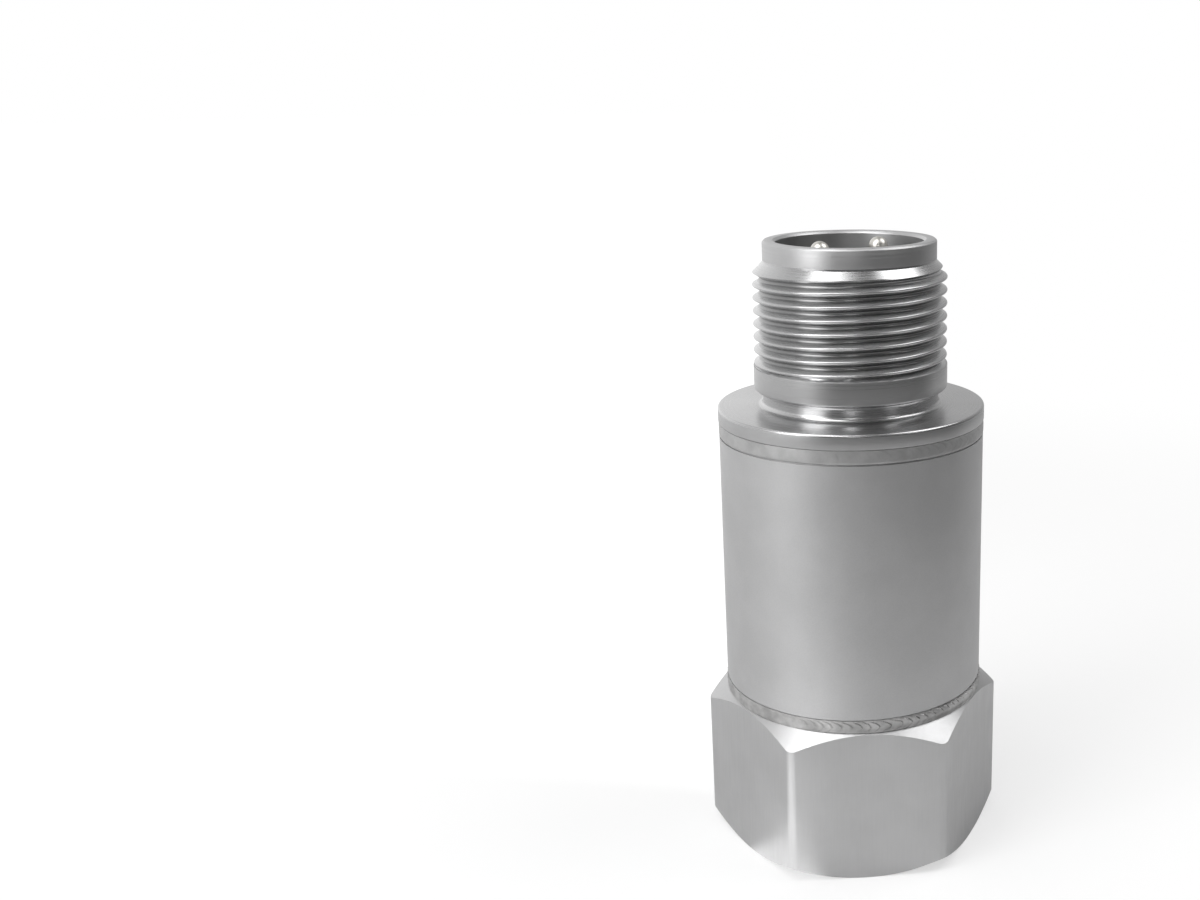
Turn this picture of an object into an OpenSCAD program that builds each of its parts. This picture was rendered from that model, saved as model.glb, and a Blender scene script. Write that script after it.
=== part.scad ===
// Industrial vibration sensor: a welded stainless steel accelerometer with a hexagonal base,
// a round housing and a threaded two-pin connector on top.
// Millimetres. The axis is Z, and Z = 0 is the mounting face under the hexagon.

/* [Hexagonal base] */
// Width across the flats
hex_af = 22; // [20:0.5:28]
// Height of the hexagon
hex_h = 13; // [11:0.5:18]
// Angle of the turned corner chamfers, from the horizontal
corner_angle = 38; // [20:1:45]
// How far the turned end faces stay inside the flats
face_inset = 0.03; // [0.02:0.01:0.3]
// Radius that rounds each upright edge
edge_round = 1; // [0.1:0.05:2]
// Thread size of the mounting hole
mount_d = 6; // [5:0.5:8]
// Thread pitch of the mounting hole
mount_pitch = 1; // [0.8:0.05:1.25]
// Threaded depth of the mounting hole
mount_depth = 8; // [6:0.5:9]
// Point angle of the drill that made the mounting hole
drill_point = 118; // [100:1:140]

/* [Housing] */
// How far the sleeve lies inside the base's flats
sleeve_inset = 0.05; // [0:0.01:2]
// Wall of the sleeve
sleeve_wall = 1.5; // [1:0.1:2]
// Length of the base's spigot inside the sleeve
base_spigot = 1.6; // [1:0.1:3]
// Width of the weld seams
weld_w = 1.2; // [0.8:0.05:1.4]
// Width of the weld seams at their root
weld_root = 0.5; // [0.2:0.05:0.7]
// Depth of the weld seams
weld_depth = 0.4; // [0.2:0.05:0.8]
// Height of the weld bead's crown over the sleeve
weld_crown = 0.04; // [0.01:0.01:0.1]
// Radial clearance of fits
fit_gap = 0.03; // [0.01:0.01:0.1]

/* [Cap and connector] */
// How far the cap stands out over the sleeve
cap_lip = 0.05; // [0.02:0.01:0.3]
// Thickness of the cap's flange
cap_t = 1.8; // [1.2:0.1:3]
// Edge break of the cap's rim
cap_break = 0.2; // [0.1:0.05:0.5]
// Length of the cap's spigot inside the sleeve
cap_spigot = 2.4; // [1.5:0.1:4]
// Wall of the cap's spigot
cap_spigot_wall = 2.2; // [1.2:0.1:2.6]
// Height of the relief groove under the collar
neck_h = 1.35; // [1:0.05:2]
// Depth of the relief groove
neck_depth = 0.72; // [0.4:0.02:0.9]
// Radius in the corners of the relief groove
neck_fillet = 0.45; // [0.2:0.05:0.6]
// Height of the plain collar under the thread
collar_h = 1.95; // [1.6:0.05:4]
// How far the collar stands out over the thread's crests
collar_lip = 0.05; // [0.02:0.01:0.2]
// Edge break of the collar and the nose
collar_break = 0.15; // [0.05:0.05:0.3]
// Outside diameter of the coupling thread
thread_d = 15.8; // [14:0.1:18]
// Pitch of the coupling thread
thread_pitch = 1.058; // [0.8:0.002:1.3]
// Length of the coupling thread with its lead-in chamfer
thread_len = 8.4; // [6:0.1:12]
// Angle between the flanks of the coupling thread
thread_angle = 60; // [55:1:60]
// Flat at the roots of the coupling thread, as a share of its pitch
thread_root = 0.25; // [0.1:0.01:0.3]
// Flat on the crests of the coupling thread, as a share of its pitch
thread_crest = 0.125; // [0.1:0.005:0.3]
// Turn of the thread about the axis
thread_turn = 250; // [0:5:355]
// Turns of the thread that run out inside the collar
thread_runout = 1.2; // [1.1:0.05:1.4]
// Height of the plain nose above the thread
nose_h = 1.7; // [1:0.1:4]
// How far the nose lies inside the thread's roots
nose_step = 0.29; // [0.1:0.01:0.5]
// Wall of the nose around the socket
nose_wall = 1.05; // [0.8:0.05:1.5]
// Chamfer of the socket's mouth
mouth_chamfer = 0.2; // [0.1:0.05:0.4]
// Width of the polarising key in the socket
key_w = 2; // [1:0.1:3]
// Height of the polarising key off the socket's wall
key_h = 0.8; // [0.4:0.1:1.2]
// How far the key ends below the rim
key_setback = 1.2; // [0.5:0.1:3]

/* [Contacts] */
// Diameter of the contact pins
pin_d = 1.57; // [1:0.01:2]
// Distance between the pins
pin_pitch = 5.6; // [4:0.1:7]
// Angle of the row of pins about the axis
pin_angle = 27; // [0:1:90]
// How far the pins end below the rim
pin_setback = 0; // [0:0.1:3]
// Diameter of the solder cups at the pins' lower ends
cup_d = 2.1; // [1.8:0.1:2.6]
// Length of the solder cups
cup_len = 2.2; // [1.5:0.1:3]
// Wall of the solder cups
cup_wall = 0.35; // [0.2:0.05:0.5]
// Thickness of the glass seal
seal_t = 4; // [2:0.1:6]
// Thickness of the cap's floor under the glass seal
seat_t = 0.8; // [0.5:0.1:2]
// Width of the step that carries the glass seal
seat_w = 0.8; // [0.4:0.1:1.2]

/* [Sensing element] */
// Diameter of the base's centre post
post_d = 4; // [3:0.1:5]
// Height of the platform that carries the sensing element
platform_h = 1; // [0.6:0.1:2]
// Wall of the insulating sleeve on the post
bush_wall = 0.5; // [0.3:0.05:0.8]
// Thickness of the insulating ring
insulator_t = 1; // [0.6:0.1:2]
// Thickness of the electrodes
electrode_t = 0.3; // [0.2:0.05:0.5]
// Width of the electrodes' solder tabs
tab_w = 1.6; // [1:0.1:2.5]
// Thickness of each crystal ring
crystal_t = 1.5; // [1:0.1:3]
// How far the crystals lie inside the seismic mass
crystal_inset = 0.5; // [0.2:0.1:1]
// Height of the seismic mass
mass_h = 4; // [2:0.1:8]
// Room between the seismic mass and the shield can
mass_gap = 1.3; // [1.2:0.1:2]
// Height of the spring washer
spring_h = 0.7; // [0.5:0.05:1.2]
// Thickness of the spring washer
spring_t = 0.4; // [0.2:0.05:0.5]
// Width of the spring washer's ring
spring_w = 2.2; // [1.2:0.1:2.4]
// Width across the flats of the preload nut
nut_af = 7; // [6:0.1:8]
// Height of the preload nut
nut_h = 3.2; // [2:0.1:5]
// Angle of the nut's corner chamfers, from the horizontal
nut_angle = 30; // [15:1:45]
// Radius that rounds the nut's upright edges
nut_round = 0.2; // [0.1:0.05:0.5]
// Length of the post above the nut
post_end = 0.4; // [0.2:0.1:1]
// Wall of the shield can
can_wall = 0.5; // [0.3:0.05:1]
// Room between the shield can and the sleeve
can_gap = 1; // [0.6:0.1:1.5]
// Room above the post inside the shield can
can_room = 0.5; // [0.3:0.1:2]

/* [Amplifier] */
// Thickness of the circuit board
board_t = 1; // [0.6:0.1:1.6]
// Room between the circuit board and the sleeve
board_gap = 0.6; // [0.3:0.1:1]
// Height of the ring under the circuit board
spacer_h = 0.8; // [0.5:0.1:2]
// Width of the ring under the circuit board
spacer_w = 1.2; // [0.8:0.1:2]
// Room between the tallest component and the cap's spigot
board_room = 0.3; // [0.2:0.1:3]
// Length of the amplifier chip
chip_l = 4.9; // [4:0.1:6]
// Width of the amplifier chip's body
chip_w = 3.9; // [3:0.1:4.5]
// Height of the amplifier chip
chip_h = 1.4; // [1:0.1:2]
// Number of legs on each side of the chip
chip_legs = 4; // [2:1:5]
// Length of the filter capacitor
cap_len = 3.5; // [2:0.1:4]
// Width of the filter capacitor
cap_wid = 2; // [1:0.1:2.5]
// Height of the filter capacitor
cap_high = 1.4; // [0.8:0.1:2]
// Length of a bias resistor
res_l = 2; // [1:0.1:2.5]
// Width of a bias resistor
res_w = 1.2; // [0.6:0.1:1.5]
// Height of a bias resistor
res_h = 0.5; // [0.3:0.1:0.8]
// Diameter of the lead wires
lead_d = 0.6; // [0.4:0.05:0.8]

/* [Quality] */
// Sides of a full circle
$fn = 96; // [48:12:192]
// Steps in one turn of the coupling thread
thread_steps = 48; // [24:4:72]

/* [Hidden] */

// Overlap of cutting tools past the face that they cut
cut = 1;

// Radii of the housing, from the outside in
sleeve_d = hex_af - 2 * sleeve_inset;
sleeve_r = sleeve_d / 2;
bore_r = sleeve_r - sleeve_wall;
spigot_r = bore_r - fit_gap;
can_r = bore_r - can_gap;
can_in_r = can_r - can_wall;
platform_r = can_in_r - fit_gap;
board_r = bore_r - board_gap;

// Radii of the sensing element, from the post out
post_r = post_d / 2;
bush_r = post_r + fit_gap + bush_wall;
ring_in_r = bush_r + fit_gap;
mass_r = can_in_r - mass_gap;
crystal_r = mass_r - crystal_inset;
riser_r = mass_r + mass_gap / 2;
riser_top_r = (nut_af / sqrt(3) + mass_r) / 2;

// Radii of the connector, from the thread in
crest_r = thread_d / 2;
collar_r = crest_r + collar_lip;
neck_r = collar_r - neck_depth;
flank_rise = (1 - thread_root - thread_crest) / 2;
thread_depth = thread_pitch * flank_rise / tan(thread_angle / 2);
root_r = crest_r - thread_depth;
nose_r = root_r - nose_step;
socket_r = nose_r - nose_wall;
seal_r = socket_r - fit_gap;
pin_r = pin_d / 2;

// Heights of the sensing element and the amplifier, from the base up
land_z = hex_h + weld_w / 2;
spigot_z = land_z + base_spigot;
platform_z = spigot_z + platform_h;
ground_z = platform_z + insulator_t;
lower_crystal_z = ground_z + electrode_t;
signal_z = lower_crystal_z + crystal_t;
upper_crystal_z = signal_z + electrode_t;
mass_z = upper_crystal_z + crystal_t;
spring_z = mass_z + mass_h;
nut_z = spring_z + spring_h;
post_z = nut_z + nut_h + post_end;
can_z = post_z + can_room + can_wall;
board_z = can_z + spacer_h;
deck_z = board_z + board_t;

// Heights of the cap and the connector, from the amplifier up
cap_low_z = deck_z + max(chip_h, cap_high) + board_room;
cap_z = cap_low_z + cap_spigot;
face_z = cap_z + cap_t;
collar_z = face_z + neck_h;
thread_z = collar_z + collar_h;
nose_z = thread_z + thread_len;
rim_z = nose_z + nose_h;
seat_z = cap_z + seat_t;
socket_z = seat_z + seal_t;

// Angles about the axis at which the leads run
ground_angle = 165;
signal_angle = 350;

// Angles about the axis at which the components sit on the board
chip_angle = 90;
capacitor_angle = 270;
resistor_angles = [185, 320];

// The relief groove's corner radius, as far as the groove has room for it
relief_r = min(neck_fillet, neck_h / 2, neck_depth - collar_break);

// Points of an arc, from one angle to another
function arc(centre, r, from, to, steps = 6) =
    [for (i = [0 : steps]) centre + r * [cos(from + (to - from) * i / steps),
                                         sin(from + (to - from) * i / steps)]];

// Cross-section of a weld seam on the joint at height z, with its crown or open to the outside
function weld_section(z, crown) = concat(
    [[sleeve_r - weld_depth, z - weld_root / 2], [sleeve_r, z - weld_w / 2]],
    crown ? [for (s = [-0.75 : 0.25 : 0.75]) [sleeve_r + weld_crown * (1 - s * s), z + s * weld_w / 2]]
          : [[sleeve_r + cut, z - weld_w / 2], [sleeve_r + cut, z + weld_w / 2]],
    [[sleeve_r, z + weld_w / 2], [sleeve_r - weld_depth, z + weld_root / 2]]);

// A flat ring
module ring(r_out, r_in, z, h) {
    translate([0, 0, z]) linear_extrude(h) difference() {
        circle(r_out);
        circle(r_in);
    }
}

// Outline of a hexagon with round corners
function round_hex(af, r) = [for (k = [0 : 5])
    each arc((af / 2 - r) / cos(30) * [cos(60 * k), sin(60 * k)], r, 60 * k - 30, 60 * k + 30)];

// A round-edged hexagonal prism with its corners turned off at both ends
module turned_hex(af, h, angle, inset, r) {
    face_r = af / 2 - inset;
    reach = af / sqrt(3) + cut - face_r;
    intersection() {
        linear_extrude(h) polygon(round_hex(af, r));
        rotate_extrude() polygon([
            [0, 0], [face_r, 0], [face_r + reach, reach * tan(angle)],
            [face_r + reach, h - reach * tan(angle)], [face_r, h], [0, h]
        ]);
    }
}

// A round wire along a route of [distance from the axis, height] points, in the plane at an angle
module lead_wire(route, angle) {
    sides = 8;
    last = len(route) - 1;
    heading = [for (i = [0 : last]) route[min(i + 1, last)] - route[max(i - 1, 0)]];
    points = [for (i = [0 : last], k = [0 : sides - 1])
        let (across = [heading[i].y, -heading[i].x] / norm(heading[i]) * cos(360 * k / sides))
        [route[i].x + lead_d / 2 * across.x, lead_d / 2 * sin(360 * k / sides),
         route[i].y + lead_d / 2 * across.y]];
    walls = [for (i = [0 : last - 1], k = [0 : sides - 1])
        let (a = i * sides + k, b = i * sides + (k + 1) % sides)
        each [[a, a + sides, b], [b, a + sides, b + sides]]];
    ends = [[for (k = [0 : sides - 1]) k], [for (k = [sides - 1 : -1 : 0]) last * sides + k]];
    rotate(angle) polyhedron(points, concat(walls, ends));
}

// A solid rod with a right-hand thread: the corners of the profile run up the helix, and each end
// closes on a point of the axis
module threaded_rod(z_low, z_high) {
    // Height on the pitch and radius of each corner of the profile
    profile = [[0, root_r], [thread_root, root_r], [thread_root + flank_rise, crest_r],
               [1 - flank_rise, crest_r]];
    corners = len(profile);
    steps = ceil((z_high - z_low) / thread_pitch) * thread_steps;
    top = steps + thread_steps;
    function at(i, k) = i * corners + k;
    function corner(i, k) = k < corners ? at(i, k) : at(i + thread_steps, 0);
    points = [for (i = [0 : top], k = [0 : corners - 1])
        let (turn = i / thread_steps, r = profile[k][1])
        [r * cos(360 * turn), r * sin(360 * turn), z_low + thread_pitch * (turn + profile[k][0])]];
    foot = len(points);
    head = foot + 1;
    walls = [for (i = [0 : steps - 1], k = [0 : corners - 1])
        each [[corner(i, k), corner(i, k + 1), corner(i + 1, k)],
              [corner(i + 1, k), corner(i, k + 1), corner(i + 1, k + 1)]]];
    low_end = concat(
        [for (i = [0 : thread_steps - 1]) [foot, corner(i, 0), corner(i + 1, 0)]],
        [for (k = [0 : corners - 1]) [foot, corner(0, k + 1), corner(0, k)]]);
    high_end = concat(
        [for (i = [steps : top - 1]) [head, corner(i + 1, 0), corner(i, 0)]],
        [for (k = [0 : corners - 1]) [head, corner(steps, k), corner(steps, k + 1)]]);
    axis_low = [0, 0, z_low];
    axis_high = [0, 0, z_low + thread_pitch * top / thread_steps];
    polyhedron(concat(points, [axis_low, axis_high]), concat(walls, low_end, high_end));
}

// Hexagon, weld land, spigot, platform and centre post, turned and milled from one bar
module hex_base() {
    tap_r = (mount_d - mount_pitch) / 2;
    mouth_r = mount_d / 2 + fit_gap;
    color("silver") difference() {
        union() {
            turned_hex(hex_af, hex_h, corner_angle, face_inset, edge_round);
            cylinder(r = sleeve_r, h = land_z);
            cylinder(r = spigot_r, h = spigot_z);
            cylinder(r = platform_r, h = platform_z);
            cylinder(r = post_r, h = post_z);
        }
        rotate_extrude() polygon(weld_section(land_z, false));
        rotate_extrude() polygon([
            [0, -cut], [mouth_r + cut, -cut], [tap_r, mouth_r - tap_r], [tap_r, mount_depth],
            [0, mount_depth + tap_r / tan(drill_point / 2)]
        ]);
    }
}

// Round housing tube between the two weld seams
module housing_sleeve() {
    color("silver") difference() {
        ring(sleeve_r, bore_r, land_z, cap_z - land_z);
        rotate_extrude() polygon(weld_section(land_z, false));
        rotate_extrude() polygon(weld_section(cap_z, false));
    }
}

// Weld seam between the base and the sleeve
module lower_weld() {
    color("lightgray") rotate_extrude() polygon(weld_section(land_z, true));
}

// Weld seam between the sleeve and the cap
module upper_weld() {
    color("lightgray") rotate_extrude() polygon(weld_section(cap_z, true));
}

// Outline of the cap and the connector, without its thread, from the spigot up to the rim
function cap_outline() = concat(
    [[0, cap_low_z], [spigot_r, cap_low_z], [spigot_r, cap_z], [sleeve_r + cap_lip, cap_z],
     [sleeve_r + cap_lip, face_z - cap_break], [sleeve_r + cap_lip - cap_break, face_z]],
    arc([neck_r + relief_r, face_z + relief_r], relief_r, 270, 180),
    arc([neck_r + relief_r, collar_z - relief_r], relief_r, 180, 90),
    [[collar_r - collar_break, collar_z], [collar_r, collar_z + collar_break],
     [collar_r, thread_z], [nose_r, thread_z], [nose_r, rim_z - collar_break],
     [nose_r - collar_break, rim_z], [0, rim_z]]);

// Weld flange, relief groove, collar, coupling thread and socket, turned from one bar
module connector_cap() {
    color("silver") {
        difference() {
            union() {
                rotate_extrude() polygon(cap_outline());
                coupling_thread();
            }
            rotate_extrude() polygon([
                [0, seat_z], [socket_r, seat_z], [socket_r, rim_z - mouth_chamfer],
                [socket_r + mouth_chamfer + cut, rim_z + cut], [0, rim_z + cut]
            ]);
            rotate_extrude() polygon(weld_section(cap_z, false));
            translate([0, 0, cap_low_z - cut]) cylinder(r = socket_r - seat_w, h = rim_z - cap_low_z);
            translate([0, 0, cap_low_z - cut])
                cylinder(r = spigot_r - cap_spigot_wall, h = cap_spigot + cut);
        }
        polarising_key();
    }
}

// Thread between the collar and the nose, with a lead-in cone at its top
module coupling_thread() {
    low_z = thread_z - thread_runout * thread_pitch;
    intersection() {
        rotate(thread_turn) threaded_rod(low_z, nose_z);
        rotate_extrude() polygon([
            [0, low_z - cut], [crest_r + cut, low_z - cut],
            [crest_r + cut, nose_z - (crest_r + cut - nose_r)],
            [nose_r - nose_wall / 2, nose_z + nose_wall / 2], [0, nose_z + nose_wall / 2]
        ]);
    }
}

// Rib inside the socket, at right angles to the row of pins
module polarising_key() {
    intersection() {
        ring(socket_r + nose_wall / 2, socket_r - key_h, socket_z, rim_z - key_setback - socket_z);
        rotate(pin_angle - 90) translate([0, -key_w / 2, 0]) cube([nose_r, key_w, rim_z]);
    }
}

// Glass fused into the socket around the two pins
module glass_seal() {
    color("darkolivegreen") difference() {
        translate([0, 0, seat_z]) cylinder(r = seal_r, h = seal_t);
        for (side = [-1, 1])
            rotate(pin_angle) translate([side * pin_pitch / 2, 0, seat_z - cut])
                cylinder(r = pin_r + fit_gap, h = seal_t + 2 * cut);
    }
}

// Contact pin with a round tip above and a solder cup below
module contact_pin(side) {
    cup_z = cap_low_z;
    tip_z = rim_z - pin_setback - pin_r;
    color("silver") rotate(pin_angle) translate([side * pin_pitch / 2, 0, 0]) rotate_extrude() polygon(concat(
        [[0, cup_z + cup_len - cup_wall], [cup_d / 2 - cup_wall, cup_z + cup_len - cup_wall],
         [cup_d / 2 - cup_wall, cup_z], [cup_d / 2, cup_z], [cup_d / 2, cup_z + cup_len],
         [pin_r, cup_z + cup_len]],
        arc([0, tip_z], pin_r, 0, 90)));
}

module contact_pin_a() {
    contact_pin(-1);
}

module contact_pin_b() {
    contact_pin(1);
}

// Insulating sleeve that keeps the rings off the centre post
module post_bush() {
    color("ivory") ring(bush_r, post_r + fit_gap, platform_z, spring_z - platform_z);
}

// Ceramic ring that insulates the sensing element from the base
module insulator_ring() {
    color("white") ring(mass_r, ring_in_r, platform_z, insulator_t);
}

// Thin washer with a solder tab on one side
module electrode(z, angle) {
    color("goldenrod") difference() {
        union() {
            translate([0, 0, z]) cylinder(r = crystal_r, h = electrode_t);
            rotate(angle) translate([0, -tab_w / 2, z])
                cube([riser_r + lead_d / 2 + fit_gap, tab_w, electrode_t]);
        }
        translate([0, 0, z - cut]) cylinder(r = ring_in_r, h = electrode_t + 2 * cut);
    }
}

module ground_electrode() {
    electrode(ground_z, ground_angle);
}

module signal_electrode() {
    electrode(signal_z, signal_angle);
}

// Crystal rings, one on each side of the signal electrode
module lower_crystal() {
    color("lightyellow") ring(crystal_r, ring_in_r, lower_crystal_z, crystal_t);
}

module upper_crystal() {
    color("lightyellow") ring(crystal_r, ring_in_r, upper_crystal_z, crystal_t);
}

// Heavy ring that loads the crystals when the housing shakes
module seismic_mass() {
    color("dimgray") ring(mass_r, ring_in_r, mass_z, mass_h);
}

// Cone-shaped washer between the mass and the nut
module spring_washer() {
    r_in = post_r + fit_gap;
    rise = spring_h - spring_t;
    color("slategray") rotate_extrude() polygon([
        [r_in, spring_z + rise], [r_in + spring_w, spring_z],
        [r_in + spring_w, spring_z + spring_t], [r_in, spring_z + spring_h]
    ]);
}

// Nut that preloads the sensing element on the post
module preload_nut() {
    color("silver") translate([0, 0, nut_z]) difference() {
        turned_hex(nut_af, nut_h, nut_angle, face_inset, nut_round);
        translate([0, 0, -cut]) cylinder(r = post_r + fit_gap, h = nut_h + 2 * cut);
    }
}

// Inverted cup that screens the sensing element, with a hole for each lead
module shield_can() {
    color("lightsteelblue") difference() {
        translate([0, 0, spigot_z]) cylinder(r = can_r, h = can_z - spigot_z);
        translate([0, 0, spigot_z - cut]) cylinder(r = can_in_r, h = can_z - can_wall - spigot_z + cut);
        lead_holes(can_z - can_wall);
    }
}

// Holes through which the two inner leads rise
module lead_holes(z) {
    for (angle = [ground_angle, signal_angle])
        rotate(angle) translate([riser_top_r, 0, z - cut])
            cylinder(r = lead_d / 2 + fit_gap, h = board_t + can_wall + 2 * cut);
}

// Insulating ring between the shield can and the circuit board
module board_spacer() {
    color("ivory") ring(can_r, can_r - spacer_w, can_z, spacer_h);
}

// Round circuit board
module amplifier_board() {
    color("darkgreen") difference() {
        translate([0, 0, board_z]) cylinder(r = board_r, h = board_t);
        lead_holes(board_z);
    }
}

// Amplifier chip with a row of bent legs on each long side
module amplifier_chip() {
    leg_t = 0.2;
    leg_w = 0.4;
    foot = 0.8;
    stand = 0.1;
    leg_rise = chip_h / 2;
    leg_pitch = chip_l / chip_legs;
    color("dimgray") place_on_board(chip_angle) {
        translate([-chip_l / 2, -chip_w / 2, stand]) cube([chip_l, chip_w, chip_h - stand]);
        for (side = [0, 180], i = [0 : chip_legs - 1])
            rotate(side) translate([(i + 0.5) * leg_pitch - chip_l / 2 + leg_w / 2, chip_w / 2, 0])
                rotate([90, 0, -90]) linear_extrude(leg_w) polygon([
                    [leg_t, leg_rise], [leg_t, leg_rise + leg_t], [-leg_t, leg_rise + leg_t],
                    [-leg_t * 2, leg_t], [-foot, leg_t], [-foot, 0], [-leg_t, 0], [-leg_t / 2, leg_rise]
                ]);
    }
}

// Puts a component on the circuit board, half way out at an angle
module place_on_board(angle) {
    rotate(angle) translate([board_r / 2, 0, deck_z]) rotate(90) children();
}

// Moulded capacitor with a terminal at each end
module filter_capacitor() {
    band = cap_len / 6;
    skirt = 0.1;
    color("darkorange") place_on_board(capacitor_angle) union() {
        translate([-cap_len / 2 + skirt, -cap_wid / 2, skirt])
            cube([cap_len - 2 * skirt, cap_wid, cap_high - skirt]);
        for (side = [-1, 1])
            translate([side * (cap_len - band) / 2 - band / 2, -cap_wid / 2 + skirt, 0])
                cube([band, cap_wid - 2 * skirt, cap_high / 2]);
    }
}

// Small resistors that set the chip's bias
module bias_resistors() {
    color("black") for (angle = resistor_angles)
        place_on_board(angle) translate([-res_l / 2, -res_w / 2, 0]) cube([res_l, res_w, res_h]);
}

// Points of a smooth sideways shift from one [distance, height] to another
function shift_route(from, to, steps = 6) =
    [for (i = [0 : steps]) [from.x + (to.x - from.x) * (1 - cos(180 * i / steps)) / 2,
                            from.y + (to.y - from.y) * i / steps]];

// Lead from an electrode's tab up past the mass and through the can and the board
module inner_lead(z, angle) {
    color("crimson") lead_wire(concat(
        [[riser_r, z]],
        shift_route([riser_r, spring_z], [riser_top_r, post_z]),
        [[riser_top_r, deck_z + lead_d / 2]]), angle);
}

module ground_lead() {
    inner_lead(ground_z + electrode_t, ground_angle);
}

module signal_lead() {
    inner_lead(signal_z + electrode_t, signal_angle);
}

// Lead from the circuit board up into a pin's solder cup
module output_lead(side) {
    pad_r = pin_pitch / 2 + 2 * lead_d;
    stub = lead_d / 2;
    color("crimson") rotate(side < 0 ? 180 : 0) lead_wire(concat(
        [[pad_r, deck_z]],
        shift_route([pad_r, deck_z + stub], [pin_pitch / 2, cap_low_z - fit_gap]),
        [[pin_pitch / 2, cap_low_z + cup_len - cup_wall]]), pin_angle);
}

module output_lead_a() {
    output_lead(-1);
}

module output_lead_b() {
    output_lead(1);
}

hex_base();
housing_sleeve();
lower_weld();
upper_weld();
connector_cap();
glass_seal();
contact_pin_a();
contact_pin_b();
post_bush();
insulator_ring();
ground_electrode();
lower_crystal();
signal_electrode();
upper_crystal();
seismic_mass();
spring_washer();
preload_nut();
shield_can();
board_spacer();
amplifier_board();
amplifier_chip();
filter_capacitor();
bias_resistors();
ground_lead();
signal_lead();
output_lead_a();
output_lead_b();
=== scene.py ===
"""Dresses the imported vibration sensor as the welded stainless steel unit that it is.

The classes hold their sizes in millimetres, and each finished mesh is brought to metres at the end.
The axis of the sensor is Z, and Z = 0 is the mounting face under the hexagon.
"""

import logging
import math
from collections.abc import Callable, Iterable
from dataclasses import dataclass, field
from enum import Enum

import bmesh
import bpy
from mathutils import Matrix, Vector


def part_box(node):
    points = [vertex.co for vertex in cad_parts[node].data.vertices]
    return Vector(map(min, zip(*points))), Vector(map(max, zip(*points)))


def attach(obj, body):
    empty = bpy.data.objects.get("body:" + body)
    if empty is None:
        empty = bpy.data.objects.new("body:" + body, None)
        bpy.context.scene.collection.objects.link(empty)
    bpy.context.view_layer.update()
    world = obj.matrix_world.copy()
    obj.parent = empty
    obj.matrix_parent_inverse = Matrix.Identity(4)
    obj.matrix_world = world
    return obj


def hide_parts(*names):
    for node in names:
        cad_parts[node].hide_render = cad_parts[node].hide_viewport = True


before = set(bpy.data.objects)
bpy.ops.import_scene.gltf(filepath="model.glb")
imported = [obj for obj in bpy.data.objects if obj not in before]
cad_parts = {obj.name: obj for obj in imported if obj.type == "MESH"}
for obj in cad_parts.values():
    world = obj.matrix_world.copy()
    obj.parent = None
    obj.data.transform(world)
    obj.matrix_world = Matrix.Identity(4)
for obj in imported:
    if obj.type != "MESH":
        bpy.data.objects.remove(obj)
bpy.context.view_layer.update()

LOG = logging.getLogger("vibration_sensor")

# Millimetres in a metre
MM = 1000.0
# Steps of a full turn on the lathe, and of one on the small pieces
ROUND_STEPS = 192
SMALL_STEPS = 60
# Sectors of a full turn: one is spun, and the others are copies of it
SECTORS = 12
# Segments of a rounded edge
EDGE_SEGMENTS = 3
# Points nearer to each other than this are one point
TOUCH = 0.0005
# Points nearer to a cutting plane than this are on it
ON_PLANE = TOUCH / 10
# Corners of an outline that turn more than this get a broken edge
CORNER = math.radians(20)
# Faces that meet at more than this angle have a sharp edge between them
SHARP = math.radians(28)

Outline = list[tuple[float, float]]
Geometry = list[bmesh.types.BMVert | bmesh.types.BMEdge | bmesh.types.BMFace]


def span(node: str) -> tuple[Vector, Vector]:
    """Reads where a CAD node is.

    Args:
        node: name of the node.

    Returns:
        Its lowest and highest corners in millimetres.
    """
    low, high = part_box(node)
    return Vector(low) * MM, Vector(high) * MM


def arc(centre: tuple[float, float], radius: float, start: float, end: float, steps: int = 8) -> Outline:
    """Makes the round stretch of an outline.

    Args:
        centre: radius and height of the arc's centre.
        radius: radius of the arc.
        start: first angle in degrees, from the direction away from the axis.
        end: last angle in degrees.
        steps: number of chords.

    Returns:
        The points of the arc, both ends included.
    """
    angles = [math.radians(start + (end - start) * step / steps) for step in range(steps + 1)]
    return [(centre[0] + radius * math.cos(a), centre[1] + radius * math.sin(a)) for a in angles]


def direction(degrees: float) -> Vector:
    """Gives the level direction at an angle about the axis."""
    return Vector((math.cos(math.radians(degrees)), math.sin(math.radians(degrees)), 0.0))


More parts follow.
